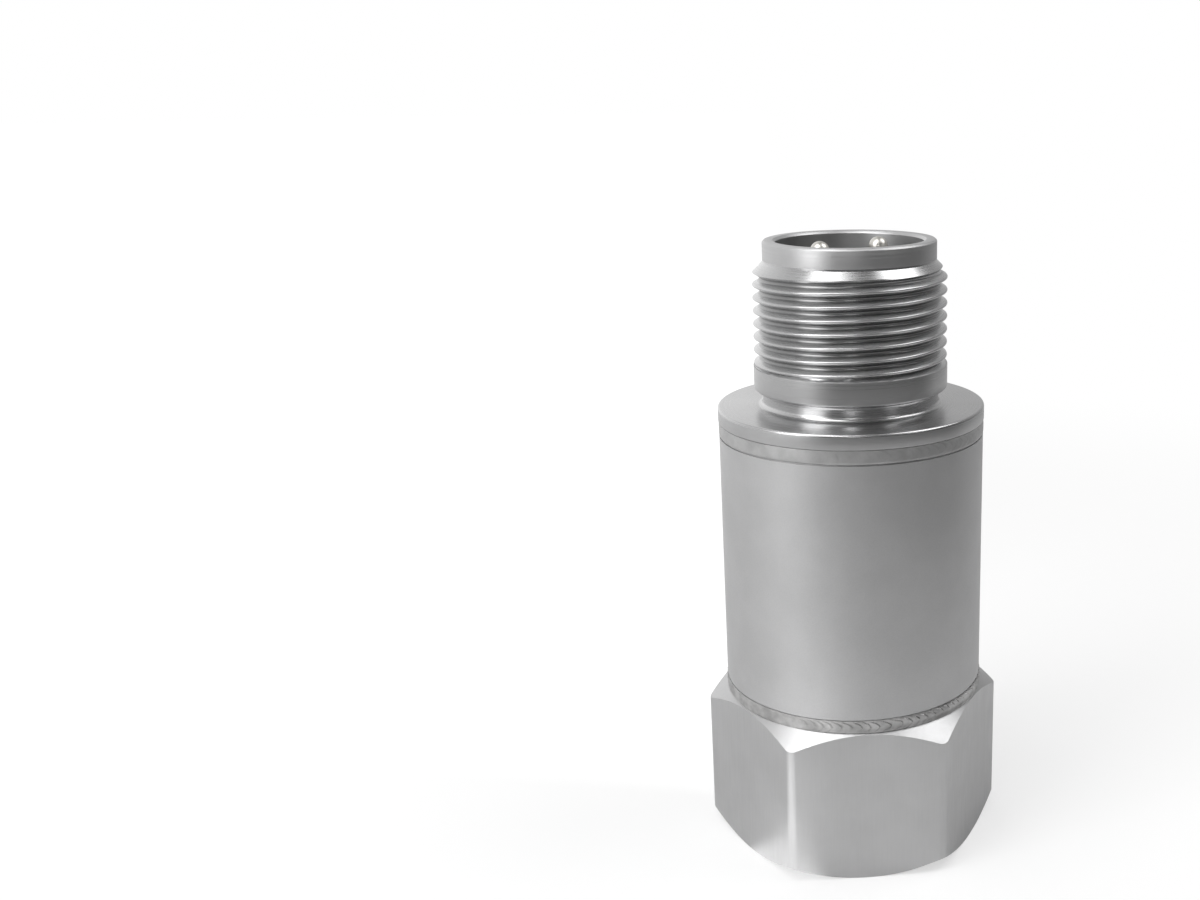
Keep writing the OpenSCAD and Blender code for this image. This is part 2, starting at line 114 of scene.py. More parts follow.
class Workpiece:
    """A mesh in the making, in millimetres, worked on as on a lathe and a mill."""

    def __init__(self) -> None:
        """Starts with no metal in the chuck."""
        self.bm = bmesh.new()

    def _wire(self, points: Outline, closed: bool, soften: float) -> Geometry:
        """Draws an outline as a wire in the XZ plane, with its corners rounded.

        Args:
            points: radius and height of each corner.
            closed: whether the last corner joins the first.
            soften: length of the edge break at each sharp corner, or 0 for none.

        Returns:
            The vertices and edges of the wire.
        """
        verts = [self.bm.verts.new((radius, 0.0, height)) for radius, height in points]
        for pair in zip(verts, verts[1:] + verts[:1] if closed else verts[1:]):
            self.bm.edges.new(pair)
        corners = [v for v in verts if len(v.link_edges) == 2 and self._bends(v)]
        if soften and corners:
            bmesh.ops.bevel(
                self.bm, geom=corners, offset=soften, offset_type="OFFSET", affect="VERTICES",
                segments=EDGE_SEGMENTS, profile=0.5, material=-1, clamp_overlap=True)
        return self._loose_wire()

    @staticmethod
    def _bends(vert: bmesh.types.BMVert) -> bool:
        """Tells whether the wire turns sharply at a vertex."""
        before, after = (edge.other_vert(vert).co - vert.co for edge in vert.link_edges)
        return before.angle(-after) > CORNER

    def _loose_wire(self) -> Geometry:
        """Collects the edges that have no face yet, and their vertices."""
        edges = [edge for edge in self.bm.edges if edge.is_wire]
        return list({vert for edge in edges for vert in edge.verts}) + edges

    def turn(
        self, outline: Outline, closed: bool = False, soften: float = 0.0, steps: int = ROUND_STEPS,
    ) -> None:
        """Spins an outline once round the axis.

        Args:
            outline: radius and height of each corner.
            closed: whether the outline is a full section.
            soften: length of the edge break at each sharp corner.
            steps: steps of the full turn, a multiple of the number of sectors.
        """
        wire = self._wire(outline, closed, soften)
        faces = self._sweep(wire, math.tau / SECTORS, steps // SECTORS, 0.0)
        self._repeat(faces, math.tau / SECTORS, SECTORS - 1, 0.0)

    def screw(self, profile: Outline, pitch: float, turns: int, start: float, cuts: int, steps: int) -> None:
        """Spins one pitch of a thread's profile up a right-hand helix.

        Args:
            profile: radius and height of each corner, over one full pitch.
            pitch: rise in one turn.
            turns: number of turns.
            start: angle about the axis at which the helix starts, in degrees.
            cuts: extra points on each side of the profile.
            steps: steps of a turn.
        """
        wire = self._wire(profile, closed=False, soften=0.0)
        edges = [item for item in wire if isinstance(item, bmesh.types.BMEdge)]
        bmesh.ops.subdivide_edges(self.bm, edges=edges, cuts=cuts)
        wire = self._loose_wire()
        verts = [item for item in wire if isinstance(item, bmesh.types.BMVert)]
        bmesh.ops.rotate(
            self.bm, verts=verts, cent=(0, 0, 0), matrix=Matrix.Rotation(math.radians(start), 3, "Z"))
        faces = self._sweep(wire, math.tau, steps, pitch)
        self._repeat(faces, math.tau, turns - 1, pitch)

    def _sweep(self, wire: Geometry, angle: float, steps: int, rise: float) -> list[bmesh.types.BMFace]:
        """Spins a wire about the axis.

        Args:
            wire: the vertices and edges of the wire.
            angle: how far it turns, in radians.
            steps: number of steps.
            rise: how far it climbs on the way.

        Returns:
            The new faces.
        """
        before = set(self.bm.faces)
        bmesh.ops.spin(
            self.bm, geom=wire, cent=(0, 0, 0), axis=(0, 0, 1), dvec=(0, 0, rise / steps), angle=angle,
            steps=steps)
        return [face for face in self.bm.faces if face not in before]

    def _repeat(self, faces: list[bmesh.types.BMFace], angle: float, times: int, rise: float) -> None:
        """Copies faces about the axis and joins the copies.

        Args:
            faces: the faces to copy.
            angle: turn from one copy to the next, in radians.
            times: number of copies.
            rise: height from one copy to the next.
        """
        edges = {edge for face in faces for edge in face.edges}
        verts = {vert for face in faces for vert in face.verts}
        bmesh.ops.spin(
            self.bm, geom=[*verts, *edges, *faces], cent=(0, 0, 0), axis=(0, 0, 1), dvec=(0, 0, rise),
            angle=angle * times, steps=times, use_duplicate=True)
        self.join_points()

    def join_points(self) -> None:
        """Merges the points that lie on each other."""
        bmesh.ops.remove_doubles(self.bm, verts=self.bm.verts, dist=TOUCH)

    def gauge(self, rule: Callable[[float, float], float]) -> None:
        """Moves every point out or in to the radius that a rule gives.

        Args:
            rule: takes a radius and a height, and returns the new radius.
        """
        for vert in self.bm.verts:
            radius = math.hypot(vert.co.x, vert.co.y)
            if radius > TOUCH:
                share = rule(radius, vert.co.z) / radius
                vert.co.x *= share
                vert.co.y *= share

    def cut(self, point: Vector, outward: Vector, fill: bool = False) -> None:
        """Cuts away what lies outside a plane.

        Args:
            point: a point of the plane.
            outward: direction of the side that goes.
            fill: whether the cut face is closed.
        """
        geom = self.bm.verts[:] + self.bm.edges[:] + self.bm.faces[:]
        result = bmesh.ops.bisect_plane(
            self.bm, geom=geom, dist=ON_PLANE, plane_co=point, plane_no=outward, clear_outer=True)
        edges = [item for item in result["geom_cut"] if isinstance(item, bmesh.types.BMEdge)]
        if fill and edges:
            bmesh.ops.holes_fill(self.bm, edges=edges, sides=0)

    def trim(self, low: float, high: float) -> None:
        """Cuts the workpiece square at two heights."""
        self.cut(Vector((0, 0, low)), Vector((0, 0, -1)))
        self.cut(Vector((0, 0, high)), Vector((0, 0, 1)))

    def bridge(self, low: float, high: float) -> None:
        """Joins the two open rims that lie between two heights.

        Args:
            low: the lower height.
            high: the upper height.
        """
        rims = [
            edge for edge in self.bm.edges
            if edge.is_boundary and all(low - TOUCH < vert.co.z < high + TOUCH for vert in edge.verts)]
        bmesh.ops.bridge_loops(self.bm, edges=rims)

    def add(self, other: "Workpiece") -> None:
        """Takes over the mesh of another workpiece, which is used up.

        Args:
            other: the other workpiece.
        """
        carrier = bpy.data.meshes.new("carrier")
        other.bm.to_mesh(carrier)
        other.bm.free()
        self.bm.from_mesh(carrier)
        bpy.data.meshes.remove(carrier)

    def block(self, size: Vector, centre: Vector, angle: float, soften: float) -> None:
        """Adds a block with rounded edges.

        Args:
            size: length, width and height.
            centre: middle of the block before it is turned about the axis.
            angle: turn about the axis in degrees.
            soften: size of the edge rounding.
        """
        made = bmesh.ops.create_cube(self.bm, size=1.0)["verts"]
        bmesh.ops.scale(self.bm, vec=size, verts=made)
        bmesh.ops.translate(self.bm, vec=centre, verts=made)
        bmesh.ops.rotate(
            self.bm, cent=(0, 0, 0), matrix=Matrix.Rotation(math.radians(angle), 3, "Z"), verts=made)
        edges = list({edge for vert in made for edge in vert.link_edges})
        bmesh.ops.bevel(
            self.bm, geom=edges, offset=soften, offset_type="OFFSET", affect="EDGES",
            segments=EDGE_SEGMENTS, profile=0.5, material=-1, clamp_overlap=True)

    def move(self, offset: Vector) -> None:
        """Moves the whole workpiece."""
        bmesh.ops.translate(self.bm, vec=offset, verts=self.bm.verts)

    def finish(self, name: str, material: bpy.types.Material) -> bpy.types.Object:
        """Closes the mesh, shades it and puts it in the scene.

        Args:
            name: name of the piece.
            material: its material.

        Returns:
            The finished object, at the origin and in metres.
        """
        self.join_points()
        bmesh.ops.recalc_face_normals(self.bm, faces=self.bm.faces)
        for face in self.bm.faces:
            face.smooth = True
        for edge in self.bm.edges:
            edge.smooth = not edge.is_manifold or edge.calc_face_angle() < SHARP
        bmesh.ops.scale(self.bm, vec=Vector((1, 1, 1)) / MM, verts=self.bm.verts)
        mesh = bpy.data.meshes.new(name)
        self.bm.to_mesh(mesh)
        self.bm.free()
        mesh.materials.append(material)
        piece = bpy.data.objects.new(name, mesh)
        bpy.context.scene.collection.objects.link(piece)
        return piece


class NodeSheet:
    """The nodes of one material or of the room, with short ways to add and link them."""

    def __init__(self, owner: bpy.types.Material | bpy.types.World, shader: str, output: str) -> None:
        """Starts with the bare shader of a new material or world.

        Args:
            owner: the material or the world.
            shader: name of its first shader node.
            output: name of its output node.
        """
        owner.use_nodes = True
        self.owner = owner
        self.tree = owner.node_tree
        self.shader = self.tree.nodes[shader]
        self.surface = self.tree.nodes[output].inputs["Surface"]

    @classmethod
    def of_material(cls, name: str) -> "NodeSheet":
        """Starts a new material."""
        return cls(bpy.data.materials.new(name), "Principled BSDF", "Material Output")

    @classmethod
    def of_world(cls, name: str) -> "NodeSheet":
        """Starts a new world."""
        return cls(bpy.data.worlds.new(name), "Background", "World Output")

    def add(self, kind: str, **settings: object) -> bpy.types.Node:
        """Adds a node and sets its properties.

        Args:
            kind: type of the node.
            settings: its properties by name.

        Returns:
            The node.
        """
        node = self.tree.nodes.new(kind)
        for name, value in settings.items():
            setattr(node, name, value)
        return node

    def link(self, source: bpy.types.NodeSocket, target: bpy.types.NodeSocket) -> None:
        """Links two sockets."""
        self.tree.links.new(source, target)

    def place(self) -> bpy.types.NodeSocket:
        """Gives the point on the piece, in metres."""
        return self.add("ShaderNodeTexCoord").outputs["Object"]

    def stretched(self, share: tuple[float, float, float]) -> bpy.types.NodeSocket:
        """Gives the point on the piece, scaled along each axis.

        Args:
            share: the scale along each axis.

        Returns:
            The scaled point.
        """
        node = self.add("ShaderNodeVectorMath", operation="MULTIPLY")
        self.link(self.place(), node.inputs[0])
        node.inputs[1].default_value = share
        return node.outputs["Vector"]

    def off_axis(self) -> bpy.types.NodeSocket:
        """Measures how far a place is from the axis.

        Returns:
            The distance in metres.
        """
        node = self.add("ShaderNodeVectorMath", operation="LENGTH")
        self.link(self.stretched((1, 1, 0)), node.inputs[0])
        return node.outputs["Value"]

    def upright(self, vector: bpy.types.NodeSocket) -> bpy.types.NodeSocket:
        """Takes the upright part of a vector.

        Args:
            vector: the vector.

        Returns:
            Its part along Z.
        """
        node = self.add("ShaderNodeSeparateXYZ")
        self.link(vector, node.inputs[0])
        return node.outputs["Z"]

    def lathe_place(self) -> bpy.types.NodeSocket:
        """Places a point as a lathe does, which is the same all round the axis.

        Returns:
            A vector of the distance from the axis and the height.
        """
        joined = self.add("ShaderNodeCombineXYZ")
        self.link(self.off_axis(), joined.inputs["X"])
        self.link(self.upright(self.place()), joined.inputs["Y"])
        return joined.outputs["Vector"]

    def noise(self, place: bpy.types.NodeSocket, grain: float, detail: float = 3.0) -> bpy.types.NodeSocket:
        """Adds a cloudy pattern.

        Args:
            place: point at which the pattern is read.
            grain: size of its patches in millimetres.
            detail: number of finer layers on it.

        Returns:
            The pattern, between 0 and 1.
        """
        node = self.add("ShaderNodeTexNoise")
        self.link(place, node.inputs["Vector"])
        node.inputs["Scale"].default_value = MM / grain
        node.inputs["Detail"].default_value = detail
        return node.outputs["Fac"]

    def spread(
        self, source: bpy.types.NodeSocket, low: float, high: float, start: float = 0.3, end: float = 0.7,
    ) -> bpy.types.NodeSocket:
        """Brings a range of one value to a range of another.

        Args:
            source: the first value, such as a pattern, which is mostly in its middle.
            low: second value at the start of the range.
            high: second value at its end.
            start: start of the range.
            end: end of the range.

        Returns:
            The second value.
        """
        node = self.add("ShaderNodeMapRange", interpolation_type="SMOOTHSTEP")
        self.link(source, node.inputs["Value"])
        for name, value in (("From Min", start), ("From Max", end), ("To Min", low), ("To Max", high)):
            node.inputs[name].default_value = value
        return node.outputs["Result"]

    def math(
        self, operation: str, first: bpy.types.NodeSocket, second: bpy.types.NodeSocket | float,
    ) -> bpy.types.NodeSocket:
        """Works out a value from two others.

        Args:
            operation: name of the sum.
            first: the first value.
            second: the second value, or a number.

        Returns:
            The result.
        """
        node = self.add("ShaderNodeMath", operation=operation)
        self.link(first, node.inputs[0])
        if isinstance(second, float):
            node.inputs[1].default_value = second
        else:
            self.link(second, node.inputs[1])
        return node.outputs["Value"]

    def facing(self, place: bpy.types.NodeSocket, side: tuple[float, float, float]) -> bpy.types.NodeSocket:
        """Tells how much a point lies to one side of the origin.

        Args:
            place: the point.
            side: the direction of that side.

        Returns:
            The length of the side where the point lies in its direction, and less where it doesn't.
        """
        unit = self.add("ShaderNodeVectorMath", operation="NORMALIZE")
        self.link(place, unit.inputs[0])
        along = self.add("ShaderNodeVectorMath", operation="DOT_PRODUCT")
        self.link(unit.outputs["Vector"], along.inputs[0])
        along.inputs[1].default_value = side
        return along.outputs["Value"]

    def mix_shaders(
        self, share: bpy.types.NodeSocket, first: bpy.types.NodeSocket, second: bpy.types.NodeSocket,
    ) -> None:
        """Puts a mix of two shaders on the surface.

        Args:
            share: share of the second shader.
            first: the first shader.
            second: the second shader.
        """
        node = self.add("ShaderNodeMixShader")
        self.link(share, node.inputs["Fac"])
        self.link(first, node.inputs[1])
        self.link(second, node.inputs[2])
        self.link(node.outputs["Shader"], self.surface)

    def blend(
        self, share: bpy.types.NodeSocket, first: "Colour | bpy.types.NodeSocket", second: "Colour",
    ) -> bpy.types.NodeSocket:
        """Blends two colours by a pattern.

        Args:
            share: the pattern, from 0 to 1.
            first: colour where the pattern is 0, which may be a blend itself.
            second: colour where it is 1.

        Returns:
            The blended colour.
        """
        node = self.add("ShaderNodeMix", data_type="RGBA")
        self.link(share, node.inputs["Factor"])
        if isinstance(first, Colour):
            node.inputs["A"].default_value = first.rgba
        else:
            self.link(first, node.inputs["A"])
        node.inputs["B"].default_value = second.rgba
        return node.outputs["Result"]

    def shaded(self, colour: bpy.types.NodeSocket, share: bpy.types.NodeSocket) -> bpy.types.NodeSocket:
        """Darkens a colour.

        Args:
            colour: the colour.
            share: how much of it is left.

        Returns:
            The darker colour.
        """
        node = self.add("ShaderNodeVectorMath", operation="SCALE")
        self.link(colour, node.inputs[0])
        self.link(share, node.inputs["Scale"])
        return node.outputs["Vector"]

    def relief(self, height: bpy.types.NodeSocket, depth: float, strength: float) -> None:
        """Roughens the surface.

        Args:
            height: pattern of the relief.
            depth: its depth in millimetres.
            strength: how much of it shows.
        """
        node = self.add("ShaderNodeBump")
        node.inputs["Strength"].default_value = strength
        node.inputs["Distance"].default_value = depth / MM
        self.link(height, node.inputs["Height"])
        self.link(node.outputs["Normal"], self.shader.inputs["Normal"])


@dataclass(frozen=True)
class Colour:
    """A colour in linear light."""

    red: float
    green: float
    blue: float

    @property
    def rgba(self) -> tuple[float, float, float, float]:
        """Gives the colour as a socket wants it."""
        return self.red, self.green, self.blue, 1.0

    def lighter(self, share: float) -> "Colour":
        """Gives the colour made lighter, or darker where the share is below zero."""
        return Colour(*(min(1.0, channel * (1 + share)) for channel in (self.red, self.green, self.blue)))


class Marks(Enum):
    """What the last tool left on a surface."""

    BLASTED = "an even matt grain"
    TURNED = "fine rings round the axis"
    DRAWN = "fine lines along the axis"
    MOULDED = "a soft cloudy grain"


@dataclass(frozen=True)
class Stretch:
    """A stretch of a turned piece between two heights. Lengths are millimetres."""

    low_z: float
    high_z: float
    fade: float = 0.1

    def inside(self, sheet: NodeSheet) -> bpy.types.NodeSocket:
        """Tells whether a place is on the stretch.

        Args:
            sheet: the nodes to add to.

        Returns:
            1 between the two heights, and 0 beyond them.
        """
        height = sheet.upright(sheet.place())
        past_low = sheet.spread(height, 0.0, 1.0, (self.low_z - self.fade) / MM, self.low_z / MM)
        past_high = sheet.spread(height, 1.0, 0.0, self.high_z / MM, (self.high_z + self.fade) / MM)
        return sheet.math("MULTIPLY", past_low, past_high)


@dataclass(frozen=True)
class PaintedShade:
    """Painted shade that darkens the colour inside a radius, in hollows such as a thread's roots and a
    socket. Lengths are millimetres.
    """

    stretch: Stretch
    inner_r: float
    outer_r: float
    painted_shade_share: float

    def share(self, sheet: NodeSheet) -> bpy.types.NodeSocket:
        """Works out how much of the colour is left at a place.

        Args:
            sheet: the nodes to add to.

        Returns:
            A share below 1 where the shade is painted, and 1 elsewhere.
        """
        covered = sheet.spread(sheet.off_axis(), self.painted_shade_share, 1.0, self.inner_r / MM, self.outer_r / MM)
        beyond = sheet.spread(self.stretch.inside(sheet), 1.0, 0.0, 0.0, 1.0)
        return sheet.math("MAXIMUM", covered, beyond)


@dataclass(frozen=True)
class Band:
    """A stretch that was turned finer than the rest, with the shares of roughness and colour left there; a
    colour share below 1 is painted shade.
    """

    stretch: Stretch
    roughness_share: float
    painted_shade_share: float = 1.0

    def roughness(self, sheet: NodeSheet) -> bpy.types.NodeSocket:
        """Works out how much of the roughness is left at a place."""
        return sheet.spread(self.stretch.inside(sheet), 1.0, self.roughness_share, 0.0, 1.0)

    def colour(self, sheet: NodeSheet) -> bpy.types.NodeSocket:
        """Works out how much of the colour is left at a place, under the painted shade."""
        return sheet.spread(self.stretch.inside(sheet), 1.0, self.painted_shade_share, 0.0, 1.0)


@dataclass(frozen=True)
class Finish:
    """The look of a material: its colour, gloss and the marks on it."""

    name: str
    colour: Colour
    roughness: float
    marks: Marks
    metallic: float = 0.0
    slot: str = ""
    # Painted shade may darken the colour in bands and in hollows inside a radius.
    bands: tuple[Band, ...] = ()
    painted_shades: tuple[PaintedShade, ...] = ()
    grain: float = 0.12
    depth: float = 0.004
    relief: float = 0.3
    patch: float = 4.0
    unevenness: float = 0.03
    gloss_spread: float = 0.06
    draw_share: float = 0.03
    refraction: float = 1.5

    def material(self) -> bpy.types.Material:
        """Builds the material.

        Returns:
            A procedural material on Object coordinates.
        """
        sheet = NodeSheet.of_material(self.name)
        shader = sheet.shader.inputs
        shader["Metallic"].default_value = self.metallic
        shader["IOR"].default_value = self.refraction
        fine = sheet.noise(self._tool_path(sheet), self.grain)
        clouds = sheet.noise(sheet.place(), self.patch)
        tone = sheet.spread(clouds, 0.0, 1.0)
        pale = self.colour.lighter(self.unevenness)
        deep = self.colour.lighter(-self.unevenness)
        colour = sheet.blend(tone, deep, pale)
        gloss = sheet.spread(fine, self.roughness - self.gloss_spread, self.roughness + self.gloss_spread)
        # Painted shade darkens the colour in the hollows inside a radius.
        for painted_shade in self.painted_shades:
            colour = sheet.shaded(colour, painted_shade.share(sheet))
        # The bands darken the colour with painted shade where their colour share is below 1.
        for band in self.bands:
            colour = sheet.shaded(colour, band.colour(sheet))
            gloss = sheet.math("MULTIPLY", gloss, band.roughness(sheet))
        sheet.link(colour, shader["Base Color"])
        sheet.link(gloss, shader["Roughness"])
        sheet.relief(fine, self.depth, self.relief)
        return sheet.owner

    def _tool_path(self, sheet: NodeSheet) -> bpy.types.NodeSocket:
        """Gives the point at which the tool's marks are read.

        Args:
            sheet: the material's nodes.

        Returns:
            The place on the piece, drawn out along the tool's path.
        """
        if self.marks is Marks.TURNED:
            return sheet.lathe_place()
        if self.marks is Marks.DRAWN:
            return sheet.stretched((1, 1, self.draw_share))
        return sheet.place()


STEEL = Colour(0.50, 0.50, 0.503)

BASE_STEEL = Finish("base_steel", STEEL, 0.40, Marks.DRAWN, metallic=1.0, grain=0.10, relief=0.10)
SLEEVE_STEEL = Finish("sleeve_steel", STEEL, 0.50, Marks.BLASTED, metallic=1.0, grain=0.09, relief=0.35)
CAP_STEEL = Finish(
    "cap_steel", STEEL, 0.44, Marks.TURNED, metallic=1.0, grain=0.07, relief=0.20,
    bands=(
        # Painted shade darkens the flange's outer wall.
        Band(Stretch(low_z=36.4, high_z=37.5), roughness_share=0.8, painted_shade_share=0.92),
        Band(Stretch(low_z=37.6, high_z=37.82), roughness_share=0.66),
        Band(Stretch(low_z=37.92, high_z=39.2), roughness_share=0.58),
        # Painted shade darkens the collar.
        Band(Stretch(low_z=39.4, high_z=41.0), roughness_share=0.7, painted_shade_share=0.88),
        Band(Stretch(low_z=41.2, high_z=48.4), roughness_share=0.66),
        Band(Stretch(low_z=48.6, high_z=49.6), roughness_share=0.6)),
    # Painted shade in the thread's roots, and inside the socket.
    painted_shades=(
        PaintedShade(Stretch(low_z=41.2, high_z=48.5), inner_r=7.34, outer_r=7.52, painted_shade_share=0.52),
        PaintedShade(Stretch(low_z=36.0, high_z=50.9), inner_r=6.05, outer_r=6.25, painted_shade_share=0.6)))
WELD_STEEL = Finish(
    "weld_steel", Colour(0.435, 0.432, 0.43), 0.44, Marks.BLASTED, metallic=1.0, grain=0.25, patch=1.2,
    unevenness=0.2)
FINE_WELD = Finish(
    "fine_weld", Colour(0.455, 0.455, 0.455), 0.48, Marks.BLASTED, metallic=1.0, slot="weld_steel",
    grain=0.15, patch=1.2, unevenness=0.08)
SEAL_GLASS = Finish(
    "seal_glass", Colour(0.020, 0.026, 0.022), 0.12, Marks.MOULDED, grain=0.5, depth=0.01, patch=1.5,
    unevenness=0.3, refraction=1.52)
CONTACT_METAL = Finish(
    "contact_metal", Colour(0.64, 0.625, 0.59), 0.38, Marks.DRAWN, metallic=1.0, grain=0.08, relief=0.2)
INSULATING_PLASTIC = Finish(
    "insulating_plastic", Colour(0.78, 0.72, 0.58), 0.45, Marks.MOULDED, grain=0.3, depth=0.01)
CERAMIC = Finish("ceramic", Colour(0.85, 0.84, 0.80), 0.30, Marks.MOULDED, grain=0.2, unevenness=0.03)
ELECTRODE_BRASS = Finish(
    "electrode_brass", Colour(0.72, 0.53, 0.24), 0.28, Marks.DRAWN, metallic=1.0, grain=0.08)
CRYSTAL = Finish("crystal", Colour(0.70, 0.64, 0.50), 0.35, Marks.BLASTED, grain=0.06, unevenness=0.08)
HEAVY_ALLOY = Finish(
    "heavy_alloy", Colour(0.28, 0.28, 0.29), 0.38, Marks.TURNED, metallic=1.0, grain=0.07)
SPRING_STEEL = Finish(
    "spring_steel", Colour(0.33, 0.34, 0.37), 0.30, Marks.TURNED, metallic=1.0, grain=0.06)
CAN_STEEL = Finish("can_steel", Colour(0.56, 0.57, 0.58), 0.25, Marks.TURNED, metallic=1.0, grain=0.08)
BOARD_LAMINATE = Finish(
    "board_laminate", Colour(0.020, 0.085, 0.035), 0.35, Marks.MOULDED, grain=0.2, patch=0.8, unevenness=0.2)
CHIP_PLASTIC = Finish("chip_plastic", Colour(0.030, 0.030, 0.032), 0.55, Marks.MOULDED, grain=0.08)
CAPACITOR_PLASTIC = Finish(
    "capacitor_plastic", Colour(0.62, 0.36, 0.06), 0.40, Marks.MOULDED, grain=0.1)
LEAD_JACKET = Finish("lead_jacket", Colour(0.45, 0.03, 0.03), 0.38, Marks.MOULDED, grain=0.15)


class Workshop:
    """Makes each material once and enters each piece in the frame."""

    def __init__(self) -> None:
        """Starts with no materials mixed."""
        self._mixed: dict[str, bpy.types.Material] = {}

    def material(self, finish: Finish) -> bpy.types.Material:
        """Gives the material of a finish.

        Args:
            finish: the finish.

        Returns:
            Its material, which is mixed at the first call.
        """
        if finish.name not in self._mixed:
            self._mixed[finish.name] = finish.material()
        return self._mixed[finish.name]

    def enter(self, work: Workpiece, name: str, finish: Finish, *nodes: str) -> None:
        """Finishes a workpiece and sets it on the sensor.

        Args:
            work: the mesh in the making.
            name: name of the piece.
            finish: its finish, whose material the piece gets.
            nodes: the CAD nodes that the piece stands for.
        """
        piece = work.finish(name, self.material(finish))
        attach(piece, "root")
        if nodes:
            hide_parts(*nodes)
        LOG.info("%s: %d faces, %s", name, len(piece.data.polygons), finish.marks.value)

    def dress(self, node: str, finish: Finish) -> None:
        """Gives a CAD node that stays in place its finish.

        Args:
            node: name of the node.
            finish: its finish.
        """
        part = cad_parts[node]
        part.data.materials.clear()
        part.data.materials.append(self.material(finish))
        LOG.info("%s: dressed in %s", node, finish.name)


@dataclass
class Joints:
    """Where the pieces of the housing meet: the fits between them, and what the frame says of the rest."""

    sleeve_wall: float = 1.5
    fit_gap: float = 0.03
    weld_root: float = 0.5
    weld_depth: float = 0.4
    sleeve_r: float = field(init=False)
    bore_r: float = field(init=False)
    spigot_r: float = field(init=False)
    lower_seam: tuple[float, float] = field(init=False)
    upper_seam: tuple[float, float] = field(init=False)

    def __post_init__(self) -> None:
        """Reads the housing's boxes."""
        self.sleeve_r = span("housing_sleeve")[1].x
        self.bore_r = self.sleeve_r - self.sleeve_wall
        self.spigot_r = self.bore_r - self.fit_gap
        self.lower_seam = span("lower_weld")[0].z, span("lower_weld")[1].z
        self.upper_seam = span("upper_weld")[0].z, span("upper_weld")[1].z

    @property
    def land_z(self) -> float:
        """Height of the joint between the base and the sleeve."""
        return sum(self.lower_seam) / 2

    @property
    def cap_z(self) -> float:
        """Height of the joint between the sleeve and the cap."""
        return sum(self.upper_seam) / 2

    @property
    def groove_r(self) -> float:
        """Radius of the bottom of the weld grooves."""
        return self.sleeve_r - self.weld_depth


@dataclass
class HexBase:
    """The hexagonal base: turned from bar, with its flats milled and a tapped mounting hole."""

    joints: Joints
    across_flats: float = 22.0
    face_inset: float = 0.03
    corner_angle: float = 38.0
    corner_runout: float = 1.0
    edge_round: float = 1.0
    first_flat: float = 30.0
    half_side: float = 30.0
    mill_step: float = 5.0
    tap_r: float = 2.5
    thread_r: float = 3.0
    thread_pitch: float = 1.0
    thread_crest: float = 0.25
    thread_flank: float = 0.3125
    thread_depth: float = 8.0
    thread_steps: int = 64
    drill_point: float = 118.0
    mouth_r: float = 3.03
    mouth_land: float = 0.15
    post_r: float = 2.0
    platform_inset: float = 1.53

    def build(self, shop: Workshop) -> None:
        """Makes the base.

        Args:
            shop: the workshop that enters it.
        """
        base = Workpiece()
        base.turn(self._bar_outline())
        self._mill_flats(base)
        base.add(self._mounting_thread())
        base.bridge(0.0, 0.0)
        shop.enter(base, "machined_base", BASE_STEEL, "hex_base")

    def _bar_outline(self) -> Outline:
        """Draws the turned blank, from the mounting hole's mouth round to the top of the centre post.

        Returns:
            The outline, with the corner chamfers running out past the corners.
        """
        joints = self.joints
        top_z = joints.lower_seam[0]
        face_r = self.across_flats / 2 - self.face_inset
        corner_r = self.across_flats / math.sqrt(3) + self.corner_runout
        drop = (corner_r - face_r) * math.tan(math.radians(self.corner_angle))
        spigot_z = span("shield_can")[0].z
        platform_z = span("insulator_ring")[0].z
        platform_r = joints.bore_r - self.platform_inset
        post_z = span("hex_base")[1].z
        return [
            (self.mouth_r + self.mouth_land, 0.0), (face_r, 0.0),
            (corner_r, drop), (corner_r, top_z - drop),
            (face_r, top_z), (joints.sleeve_r, top_z),
            (joints.groove_r, joints.land_z - joints.weld_root / 2), (joints.groove_r, joints.land_z),
            (joints.spigot_r, joints.land_z), (joints.spigot_r, spigot_z),
            (platform_r, spigot_z), (platform_r, platform_z),
            (self.post_r, platform_z), (self.post_r, post_z), (0.0, post_z)]

    def _mill_flats(self, base: Workpiece) -> None:
        """Mills the flats and the rounding of the upright edges, one narrow facet after another.

        Args:
            base: the turned blank.
        """
        half_side = self.half_side
        corner_r = (self.across_flats / 2 - self.edge_round) / math.cos(math.radians(half_side))
        for step in range(round(360 / self.mill_step)):
            turn = step * self.mill_step
            off_corner = (turn + half_side) % (2 * half_side) - half_side
            reach = corner_r * math.cos(math.radians(off_corner)) + self.edge_round
            outward = direction(self.first_flat - half_side + turn)
            base.cut(outward * reach, outward, fill=True)

    def _mounting_thread(self) -> Workpiece:
        """Taps the mounting hole, from its mouth to the drill's point.

        Returns:
            The wall of the hole, open at its mouth.
        """
        pitch, depth, tap_r, thread_r = self.thread_pitch, self.thread_depth, self.tap_r, self.thread_r
        crest, flank = self.thread_crest * pitch, self.thread_flank * pitch
        # One turn more than the depth starts below the mouth, and one ends above the thread
        turns = math.ceil(depth / pitch) + 2
        hole = Workpiece()
        hole.screw(
            [(tap_r, -pitch), (tap_r, -pitch + crest), (thread_r, -pitch + crest + flank),
             (thread_r, -flank), (tap_r, 0.0)],
            pitch, turns, start=0.0, cuts=2, steps=self.thread_steps)
        run_out = depth - pitch
        hole.gauge(lambda r, z: max(self.mouth_r - z, min(r, max(tap_r, tap_r + run_out - z))))
        hole.trim(0.0, depth)
        # The rims of the thread and of the point stay apart until they are bridged
        rim_z = depth + 4 * TOUCH
        point_z = depth + tap_r / math.tan(math.radians(self.drill_point / 2))
        hole.turn([(tap_r, rim_z), (0.0, point_z)], steps=SMALL_STEPS)
        hole.bridge(depth, rim_z)
        return hole


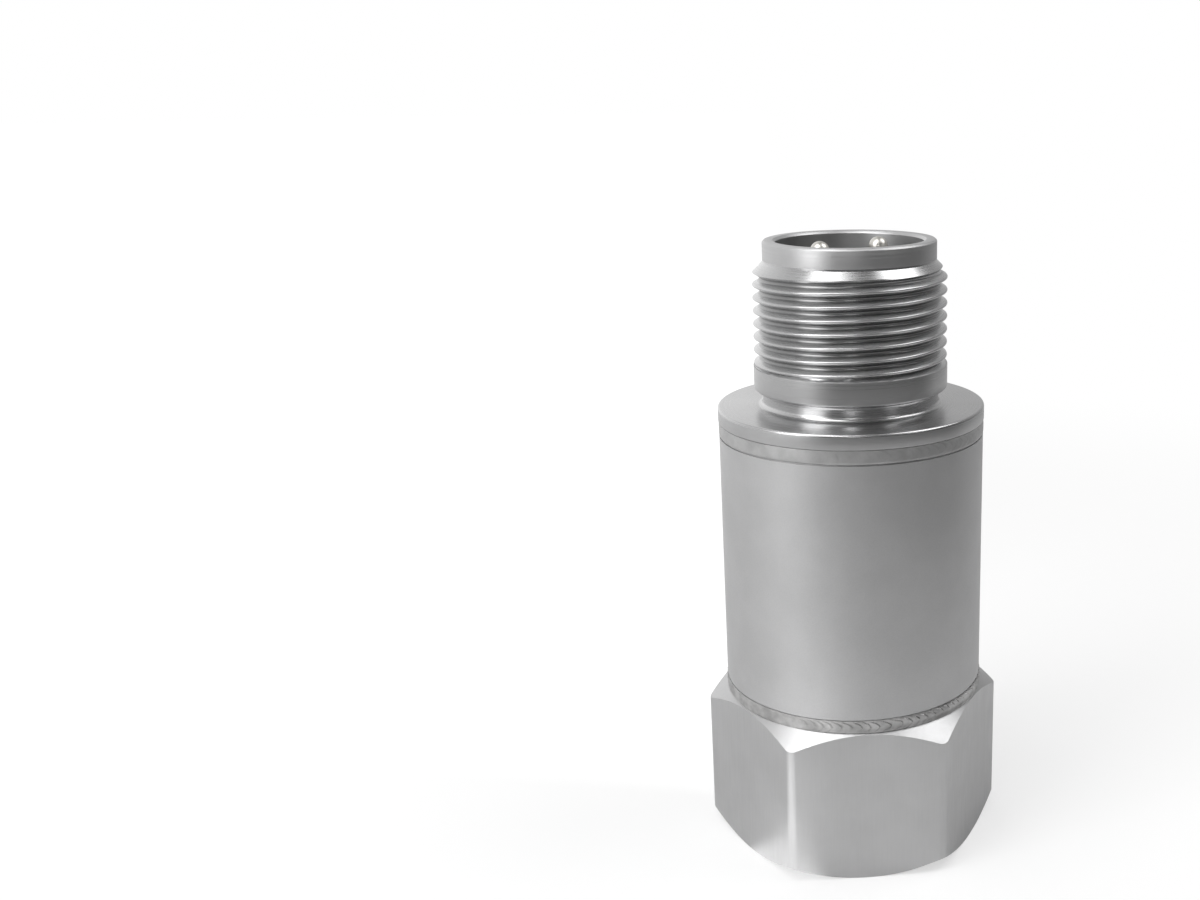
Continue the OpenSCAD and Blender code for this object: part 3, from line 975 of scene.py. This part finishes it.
@dataclass
class HousingSleeve:
    """The round tube between the two weld seams, with a fine slot where the bead stops short of it."""

    joints: Joints
    upper_slot_w: float = 0.07
    lower_slot_w: float = 0.04
    slot_depth: float = 0.12

    def build(self, shop: Workshop) -> None:
        """Makes the sleeve.

        Args:
            shop: the workshop that enters it.
        """
        joints = self.joints
        low, high = joints.lower_seam[1], joints.upper_seam[0]
        root = joints.weld_root / 2
        slot_r = joints.sleeve_r - self.slot_depth
        slot_rise = (joints.cap_z - root - high) * self.slot_depth / joints.weld_depth
        tube = Workpiece()
        tube.turn(
            [(joints.sleeve_r, low + self.lower_slot_w), (joints.sleeve_r, high - self.upper_slot_w),
             (slot_r, high - self.upper_slot_w), (slot_r, high + slot_rise),
             (joints.groove_r, joints.cap_z - root), (joints.groove_r, joints.cap_z),
             (joints.bore_r, joints.cap_z), (joints.bore_r, joints.land_z),
             (joints.groove_r, joints.land_z), (joints.groove_r, joints.land_z + root),
             (slot_r, low - slot_rise), (slot_r, low + self.lower_slot_w)],
            closed=True)
        shop.enter(tube, "drawn_sleeve", SLEEVE_STEEL, "housing_sleeve")


@dataclass
class WeldSeam:
    """A seam welded all round, with the overlapping ripples that the pool left as it froze."""

    joints: Joints
    name: str
    node: str
    seam: tuple[float, float]
    finish: Finish
    ripple: float
    smooth_side: float = -140.0
    smooth_share: float = 0.2
    crown: float = 0.02
    undercut_w: float = 0.07
    undercut_depth: float = 0.10
    upper_undercut: float = 0.0
    ripple_pitch: float = 0.80
    lap_power: float = 1.6
    lap_mean: float = 0.45
    wander: tuple[float, float] = (0.18, 0.12)
    wander_counts: tuple[int, int] = (7, 17)
    wander_starts: tuple[float, float] = (0.0, 1.3)
    sweep: float = 0.9
    toe: float = 0.25
    rows: int = 16
    steps: int = 840

    def build(self, shop: Workshop) -> None:
        """Makes the seam.

        Args:
            shop: the workshop that enters it.
        """
        joints = self.joints
        low, high = self.seam
        middle, half = (low + high) / 2, (high - low) / 2
        root = joints.weld_root / 2
        crown_half = half - self.undercut_w
        undercut_r = joints.sleeve_r - self.undercut_depth
        face = [
            (joints.sleeve_r, middle + crown_half * (2 * row / self.rows - 1))
            for row in range(self.rows + 1)]
        face.append((joints.sleeve_r - self.upper_undercut, high))
        bead = Workpiece()
        bead.turn(
            [(undercut_r, low), *face, (joints.groove_r, middle + root), (joints.groove_r, middle - root)],
            closed=True, steps=self.steps)
        for vert in bead.bm.verts:
            radius = math.hypot(vert.co.x, vert.co.y)
            if radius > joints.sleeve_r - TOUCH:
                rise = self._rise(math.atan2(vert.co.y, vert.co.x), (vert.co.z - middle) / crown_half)
                vert.co.xy *= (radius + rise) / radius
        shop.enter(bead, self.name, self.finish, self.node)

    def _rise(self, angle: float, across: float) -> float:
        """Works out how far the bead stands out at a place.

        Args:
            angle: place round the axis in radians.
            across: place across the seam, from -1 to 1.

        Returns:
            The height of the bead over the sleeve.
        """
        count = round(math.tau * self.joints.sleeve_r / self.ripple_pitch)
        drift = sum(
            share * math.sin(times * angle + start)
            for share, times, start in zip(self.wander, self.wander_counts, self.wander_starts))
        phase = (angle / math.tau * count + self.sweep * across * across + drift) % 1.0
        lap = phase ** self.lap_power - self.lap_mean
        fade = min(1.0, max(0.0, 1 + across) / self.toe)
        smoothed = max(0.0, math.cos(angle - math.radians(self.smooth_side)))
        ripple = self.ripple * (1 - (1 - self.smooth_share) * smoothed)
        return fade * (self.crown + ripple * lap)


@dataclass
class ConnectorCap:
    """The cap: weld flange, relief groove, collar, coupling thread and socket, turned from one bar."""

    joints: Joints
    flange_t: float = 1.8
    flange_break: float = 0.2
    spigot_wall: float = 2.2
    neck_h: float = 1.35
    neck_depth: float = 0.72
    neck_fillet: float = 0.45
    collar_h: float = 1.95
    collar_r: float = 7.95
    collar_break: float = 0.15
    crest_r: float = 7.9
    thread_pitch: float = 1.058
    thread_len: float = 8.4
    thread_root: float = 0.25
    thread_crest: float = 0.125
    flank_angle: float = 30.0
    thread_turn: float = 250.0
    thread_runout: float = 1.2
    runout_slope: float = 2.0
    thread_steps: int = 128
    nose_step: float = 0.29
    nose_wall: float = 1.05
    mouth_chamfer: float = 0.2
    seat_w: float = 0.8
    key_w: float = 2.0
    key_h: float = 0.8
    key_setback: float = 1.2
    key_angle: float = -63.0
    key_round: float = 0.15
    edge_break: float = 0.05
    flange_r: float = field(init=False)
    low_z: float = field(init=False)
    rim_z: float = field(init=False)
    face_z: float = field(init=False)
    collar_z: float = field(init=False)
    thread_z: float = field(init=False)
    nose_z: float = field(init=False)
    flank_w: float = field(init=False)
    root_r: float = field(init=False)
    nose_r: float = field(init=False)
    socket_r: float = field(init=False)

    def __post_init__(self) -> None:
        """Works out the heights from the joint with the sleeve up, and the radii from the thread in."""
        self.flange_r = span("connector_cap")[1].x
        self.low_z = span("connector_cap")[0].z
        self.rim_z = span("connector_cap")[1].z
        self.face_z = self.joints.cap_z + self.flange_t
        self.collar_z = self.face_z + self.neck_h
        self.thread_z = self.collar_z + self.collar_h
        self.nose_z = self.thread_z + self.thread_len
        self.flank_w = self.thread_pitch * (1 - self.thread_root - self.thread_crest) / 2
        self.root_r = self.crest_r - self.flank_w / math.tan(math.radians(self.flank_angle))
        self.nose_r = self.root_r - self.nose_step
        self.socket_r = self.nose_r - self.nose_wall

    def build(self, shop: Workshop) -> None:
        """Makes the cap, with the thread joined to the collar and the nose.

        Args:
            shop: the workshop that enters it.
        """
        cap = Workpiece()
        cap.turn(self._outline(), soften=self.edge_break)
        cap.add(self._thread())
        cap.bridge(self.thread_z, self.thread_z)
        cap.bridge(self.nose_z - self.edge_break, self.nose_z)
        self._key(cap)
        shop.enter(cap, "turned_cap", CAP_STEEL, "connector_cap")

    def _outline(self) -> Outline:
        """Draws the cap without its thread.

        Returns:
            The outline, from the collar's top down round the flange and the spigot and up the socket.
        """
        joints = self.joints
        neck_mid_r = self.collar_r - self.neck_depth + self.neck_fillet
        relief = (
            arc((neck_mid_r, self.collar_z - self.neck_fillet), self.neck_fillet, 90, 180)
            + arc((neck_mid_r, self.face_z + self.neck_fillet), self.neck_fillet, 180, 270))
        flange_mid = (self.flange_r - self.flange_break, self.face_z - self.flange_break)
        seat_z = span("glass_seal")[0].z
        cap_z, top = joints.cap_z, joints.upper_seam[1]
        return [
            (self.collar_r, self.thread_z), (self.collar_r, self.collar_z + self.collar_break),
            (self.collar_r - self.collar_break, self.collar_z), *relief,
            *arc(flange_mid, self.flange_break, 90, 0),
            (self.flange_r, top), (joints.sleeve_r, top), (joints.groove_r, cap_z + joints.weld_root / 2),
            (joints.groove_r, cap_z), (joints.spigot_r, cap_z), (joints.spigot_r, self.low_z),
            (joints.spigot_r - self.spigot_wall, self.low_z), (joints.spigot_r - self.spigot_wall, cap_z),
            (self.socket_r - self.seat_w, cap_z), (self.socket_r - self.seat_w, seat_z),
            (self.socket_r, seat_z), (self.socket_r, self.rim_z - self.mouth_chamfer),
            (self.socket_r + self.mouth_chamfer, self.rim_z), (self.nose_r - self.collar_break, self.rim_z),
            (self.nose_r, self.rim_z - self.collar_break), (self.nose_r, self.nose_z)]

    def _thread(self) -> Workpiece:
        """Cuts the coupling thread, with its lead-in cone above and its run-out at the collar.

        Returns:
            The thread's surface, open at both ends.
        """
        pitch = self.thread_pitch
        start_z = self.thread_z - self.thread_runout * pitch
        # One turn more than the length ends above the nose
        turns = math.ceil((self.nose_z - start_z) / pitch) + 1
        # The arcs that take the place of the flats swing from their middle round to the flanks
        swing = 90 - self.flank_angle
        arc_share = pitch / 2 / math.tan(math.radians(swing / 2))
        root_arc = self.thread_root * arc_share
        crest_arc = self.thread_crest * arc_share
        root_z = start_z + self.thread_root / 2 * pitch
        crest_z = start_z + (self.thread_root + self.thread_crest / 2) * pitch + self.flank_w
        thread = Workpiece()
        thread.screw(
            arc((self.root_r + root_arc, root_z), root_arc, 180, 180 - swing, steps=4)
            + arc((self.crest_r - crest_arc, crest_z), crest_arc, -swing, swing, steps=6)
            + arc((self.root_r + root_arc, root_z + pitch), root_arc, 180 + swing, 180, steps=4),
            pitch, turns, self.thread_turn, cuts=1, steps=self.thread_steps)
        thread.gauge(lambda r, z: min(r, self.nose_r + self.nose_z - z))
        thread.gauge(lambda r, z: max(r, self.crest_r - self.runout_slope * max(0.0, z - self.thread_z)))
        thread.trim(self.thread_z, self.nose_z - self.edge_break)
        return thread

    def _key(self, cap: Workpiece) -> None:
        """Adds the polarising key, a rib inside the socket.

        Args:
            cap: the turned cap.
        """
        floor_z = span("glass_seal")[1].z
        inner_r = self.socket_r - self.key_h
        outer_r = self.socket_r + self.nose_wall / 2
        height = self.rim_z - self.key_setback - floor_z
        cap.block(
            Vector((outer_r - inner_r, self.key_w, height)),
            Vector(((inner_r + outer_r) / 2, 0, floor_z + height / 2)), self.key_angle, self.key_round)


@dataclass
class Contacts:
    """The two contact pins and the glass that holds them in the socket."""

    pin_r: float = 0.785
    pin_circle_r: float = 2.8
    pin_angle: float = 27.0
    cup_r: float = 1.05
    cup_len: float = 2.2
    cup_wall: float = 0.35
    edge_break: float = 0.04
    meniscus: float = 0.4
    socket_r: float = 5.98

    def build(self, shop: Workshop) -> None:
        """Makes the pins and the glass's edges, and dresses the glass.

        Args:
            shop: the workshop that enters and dresses them.
        """
        for name, node, side in (("left_pin", "contact_pin_a", -1), ("right_pin", "contact_pin_b", 1)):
            pin = Workpiece()
            pin.turn(self._pin_outline(node), soften=self.edge_break, steps=SMALL_STEPS)
            pin.move(self._pin_place(side))
            shop.enter(pin, name, CONTACT_METAL, node)
        shop.enter(self._meniscus(), "glass_meniscus", SEAL_GLASS)
        shop.dress("glass_seal", SEAL_GLASS)

    def _pin_place(self, side: int) -> Vector:
        """Gives the place of the pin on one side of the axis."""
        return side * self.pin_circle_r * direction(self.pin_angle)

    def _pin_outline(self, node: str) -> Outline:
        """Draws a pin from the bottom of its solder cup round to its tip.

        Args:
            node: the CAD node of the pin.

        Returns:
            The outline about the pin's own axis.
        """
        low, high = (corner.z for corner in span(node))
        cup_in_r = self.cup_r - self.cup_wall
        cup_z = low + self.cup_len
        return [
            (0.0, cup_z - self.cup_wall), (cup_in_r, cup_z - self.cup_wall), (cup_in_r, low),
            (self.cup_r, low), (self.cup_r, cup_z), (self.pin_r, cup_z),
            *arc((0.0, high - self.pin_r), self.pin_r, 0, 90)]

    def _meniscus(self) -> Workpiece:
        """Makes the hollow fillets in which the glass climbs the pins and the socket's wall.

        Returns:
            The three rings of glass.
        """
        top = span("glass_seal")[1].z
        size = self.meniscus
        rings = Workpiece()
        for side in (-1, 1):
            ring = Workpiece()
            ring.turn(
                [(self.pin_r, top), *arc((self.pin_r + size, top + size), size, 270, 180)],
                closed=True, steps=SMALL_STEPS)
            ring.move(self._pin_place(side))
            rings.add(ring)
        wall = Workpiece()
        wall.turn(
            [(self.socket_r, top), *arc((self.socket_r - size, top + size), size, 0, -90)], closed=True)
        rings.add(wall)
        return rings


@dataclass
class InnerAssembly:
    """A sub-assembly inside the housing, which stays as the frame has it."""

    finishes: dict[str, Finish]

    def build(self, shop: Workshop) -> None:
        """Dresses the nodes of the sub-assembly."""
        for node, finish in self.finishes.items():
            shop.dress(node, finish)


@dataclass
class SensingElement(InnerAssembly):
    """The stack on the centre post, and the can over it."""

    finishes: dict[str, Finish] = field(default_factory=lambda: {
        "post_bush": INSULATING_PLASTIC, "insulator_ring": CERAMIC, "ground_electrode": ELECTRODE_BRASS,
        "lower_crystal": CRYSTAL, "signal_electrode": ELECTRODE_BRASS, "upper_crystal": CRYSTAL,
        "seismic_mass": HEAVY_ALLOY, "spring_washer": SPRING_STEEL, "preload_nut": SPRING_STEEL,
        "shield_can": CAN_STEEL})


@dataclass
class Amplifier(InnerAssembly):
    """The circuit board, what it carries and its leads."""

    finishes: dict[str, Finish] = field(default_factory=lambda: {
        "board_spacer": INSULATING_PLASTIC, "amplifier_board": BOARD_LAMINATE, "amplifier_chip": CHIP_PLASTIC,
        "filter_capacitor": CAPACITOR_PLASTIC, "bias_resistors": CERAMIC, "ground_lead": LEAD_JACKET,
        "signal_lead": LEAD_JACKET, "output_lead_a": LEAD_JACKET, "output_lead_b": LEAD_JACKET})


@dataclass(frozen=True)
class Softbox:
    """A lamp with a soft front. Lengths are metres."""

    name: str
    place: tuple[float, float, float]
    target: tuple[float, float, float]
    width: float
    height: float
    brightness: float

    def build(self) -> None:
        """Hangs the lamp and turns it to its target."""
        lamp = bpy.data.lights.new(self.name, "AREA")
        lamp.shape = "RECTANGLE"
        lamp.size = self.width
        lamp.size_y = self.height
        lamp.energy = self.brightness * math.pi * self.width * self.height
        holder = bpy.data.objects.new(self.name, lamp)
        holder.location = self.place
        aim = Vector(self.target) - Vector(self.place)
        holder.rotation_euler = aim.to_track_quat("-Z", "Y").to_euler()
        holder.visible_camera = False
        bpy.context.scene.collection.objects.link(holder)


@dataclass(frozen=True)
class Room:
    """The walls of the studio: bright behind on the left, and dim in front on the right."""

    mean: float = 0.50
    slope: tuple[float, float, float] = (-0.33, 0.72, -0.28)
    least: float = 0.13
    right_side: tuple[float, float, float] = (1.0, 0.0, 0.0)
    right_share: float = 0.58
    right_range: tuple[float, float] = (-0.06, 0.16)
    white: Colour = Colour(1.0, 1.0, 1.0)

    def level(self, sheet: NodeSheet, place: bpy.types.NodeSocket) -> bpy.types.NodeSocket:
        """Works out how bright the room is in a direction.

        Args:
            sheet: the nodes to add to.
            place: a point in that direction.

        Returns:
            The brightness.
        """
        level = sheet.math("ADD", sheet.facing(place, self.slope), self.mean)
        to_right = sheet.facing(place, self.right_side)
        dimmer = sheet.spread(to_right, 1.0, self.right_share, *self.right_range)
        return sheet.math("MAXIMUM", sheet.math("MULTIPLY", level, dimmer), self.least)

    def build(self) -> None:
        """Lights the room, and makes it white where the camera looks past the sensor."""
        sheet = NodeSheet.of_world("room")
        bpy.context.scene.world = sheet.owner
        sheet.shader.inputs["Color"].default_value = self.white.rgba
        facing = sheet.add("ShaderNodeTexCoord").outputs["Generated"]
        sheet.link(self.level(sheet, facing), sheet.shader.inputs["Strength"])
        white = sheet.add("ShaderNodeBackground")
        white.inputs["Color"].default_value = self.white.rgba
        seen = sheet.add("ShaderNodeLightPath").outputs["Is Camera Ray"]
        sheet.mix_shaders(seen, sheet.shader.outputs["Background"], white.outputs["Background"])


@dataclass(frozen=True)
class Floor:
    """A pale floor that keeps the sensor's shadow and fades into the room. Lengths are metres."""

    room: Room
    radius: float = 3.0
    rim_steps: int = 96
    roughness: float = 0.9
    seen: Colour = Colour(0.92, 0.92, 0.92)
    lit: Colour = Colour(0.73, 0.73, 0.73)
    dim: Colour = Colour(0.11, 0.11, 0.11)
    dim_side: tuple[float, float, float] = (0.45, -0.89, 0.0)
    dim_width: tuple[float, float] = (0.05, 0.6)
    dim_reach: tuple[float, float] = (0.02, 0.17)
    card: Colour = Colour(0.98, 0.98, 0.98)
    card_side: tuple[float, float, float] = (-0.629, -0.777, 0.0)
    card_width: tuple[float, float] = (0.91, 0.965)
    card_reach: tuple[float, float] = (0.03, 0.05)
    card_glow: float = 0.5
    glow: tuple[float, float] = (0.58, 1.0)
    glow_reach: tuple[float, float] = (0.05, 0.17)
    mirrored: tuple[float, float] = (0.0, 0.8)
    mirrored_reach: tuple[float, float] = (0.06, 0.24)

    def build(self) -> None:
        """Lays the floor."""
        disc = bmesh.new()
        bmesh.ops.create_circle(disc, cap_ends=True, radius=self.radius, segments=self.rim_steps)
        mesh = bpy.data.meshes.new("floor")
        disc.to_mesh(mesh)
        disc.free()
        mesh.materials.append(self._paper())
        floor = bpy.data.objects.new("floor", mesh)
        bpy.context.scene.collection.objects.link(floor)

    def _paper(self) -> bpy.types.Material:
        """Mixes the floor's paper: white where it is seen, and graded like the room where it is mirrored.

        Returns:
            The material.
        """
        sheet = NodeSheet.of_material("floor_paper")
        path = sheet.add("ShaderNodeLightPath").outputs
        seen = path["Is Camera Ray"]
        mirrored = sheet.math("MAXIMUM", path["Is Glossy Ray"], path["Is Transmission Ray"])
        distance = sheet.add("ShaderNodeVectorMath", operation="LENGTH")
        sheet.link(sheet.place(), distance.inputs[0])
        away = distance.outputs["Value"]
        dim = sheet.math(
            "MULTIPLY", sheet.spread(sheet.facing(sheet.place(), self.dim_side), 0.0, 1.0, *self.dim_width),
            sheet.spread(away, 0.0, 1.0, *self.dim_reach))
        on_card = sheet.math(
            "MULTIPLY", sheet.spread(sheet.facing(sheet.place(), self.card_side), 0.0, 1.0, *self.card_width),
            sheet.spread(away, 1.0, 0.0, *self.card_reach))
        glint = sheet.math("MULTIPLY", sheet.math("MULTIPLY", on_card, mirrored), self.card_glow)
        sheet.shader.inputs["Emission Color"].default_value = self.card.rgba
        sheet.link(glint, sheet.shader.inputs["Emission Strength"])
        mirrored_paper = sheet.blend(on_card, sheet.blend(dim, self.lit, self.dim), self.card)
        sheet.link(sheet.blend(seen, mirrored_paper, self.seen), sheet.shader.inputs["Base Color"])
        sheet.shader.inputs["Roughness"].default_value = self.roughness
        glow = sheet.add("ShaderNodeEmission")
        level = sheet.math("MAXIMUM", self.room.level(sheet, sheet.place()), seen)
        sheet.link(level, glow.inputs["Strength"])
        direct = sheet.math("MULTIPLY", seen, sheet.spread(away, *self.glow, *self.glow_reach))
        other = sheet.math("MULTIPLY", mirrored, sheet.spread(away, *self.mirrored, *self.mirrored_reach))
        sheet.mix_shaders(
            sheet.math("ADD", direct, other), sheet.shader.outputs["BSDF"], glow.outputs["Emission"])
        return sheet.owner


@dataclass(frozen=True)
class Studio:
    """Floor, soft light and camera. Lengths are metres."""

    room: Room = Room()
    floor: Floor = Floor(Room())
    lens: float = 39.5592
    sensor: float = 36.0
    camera_distance: float = 0.106415
    camera_height: float = 0.063199
    camera_azimuth: float = -5.807
    camera_pitch: float = 15.541
    camera_roll: float = -0.536
    frame_shift: float = -0.2094
    near: float = 0.005
    lamps: tuple[Softbox, ...] = (
        Softbox("left_softbox", (-0.246, -0.172, 0.165), (0.0, 0.0, 0.03), 0.17, 0.33, 3.3),
        Softbox("top_softbox", (-0.10, -0.09, 0.30), (0.0, 0.0, 0.03), 0.20, 0.18, 3.7),
        Softbox("right_softbox", (0.175, 0.0, 0.262), (0.0, 0.0, 0.03), 0.19, 0.18, 2.9),
        Softbox("front_softbox", (-0.03, -0.285, 0.13), (0.0, 0.0, 0.04), 0.05, 0.05, 6.0),
        Softbox("side_softbox", (0.214, -0.185, 0.145), (0.0, 0.0, 0.04), 0.05, 0.07, 2.0))

    def build(self) -> None:
        """Sets up the studio."""
        bpy.context.scene.view_settings.view_transform = "Standard"
        self._camera()
        self.floor.build()
        self.room.build()
        for lamp in self.lamps:
            lamp.build()

    def _camera(self) -> None:
        """Puts the camera at the viewing angle."""
        lens = bpy.data.cameras.new("camera")
        lens.lens = self.lens
        lens.sensor_width = self.sensor
        lens.shift_x = self.frame_shift
        lens.clip_start = self.near
        camera = bpy.data.objects.new("camera", lens)
        turn = Matrix.Rotation(math.radians(self.camera_azimuth), 4, "Z")
        tilt = Matrix.Rotation(math.radians(90 - self.camera_pitch), 4, "X")
        roll = Matrix.Rotation(math.radians(self.camera_roll), 4, "Z")
        place = turn @ Matrix.Translation((0, -self.camera_distance, self.camera_height))
        camera.matrix_world = place @ tilt @ roll
        bpy.context.scene.collection.objects.link(camera)
        bpy.context.scene.camera = camera


def corners(box: Iterable[Iterable[float]]) -> list[list[float]]:
    """Writes a box as plain lists of numbers."""
    return [list(corner) for corner in box]


def main() -> None:
    """Builds the studio and the sensor, from the base up."""
    logging.basicConfig(level=logging.INFO, format="%(name)s: %(message)s")
    shop = Workshop()
    joints = Joints()
    Studio().build()
    HexBase(joints).build(shop)
    HousingSleeve(joints).build(shop)
    WeldSeam(
        joints, "lower_seam", "lower_weld", joints.lower_seam, WELD_STEEL, ripple=0.115, undercut_w=0.13,
    ).build(shop)
    WeldSeam(
        joints, "upper_seam", "upper_weld", joints.upper_seam, FINE_WELD, ripple=0.017, upper_undercut=0.08,
    ).build(shop)
    ConnectorCap(joints).build(shop)
    Contacts().build(shop)
    SensingElement().build(shop)
    Amplifier().build(shop)


if __name__ == "__main__":
    main()
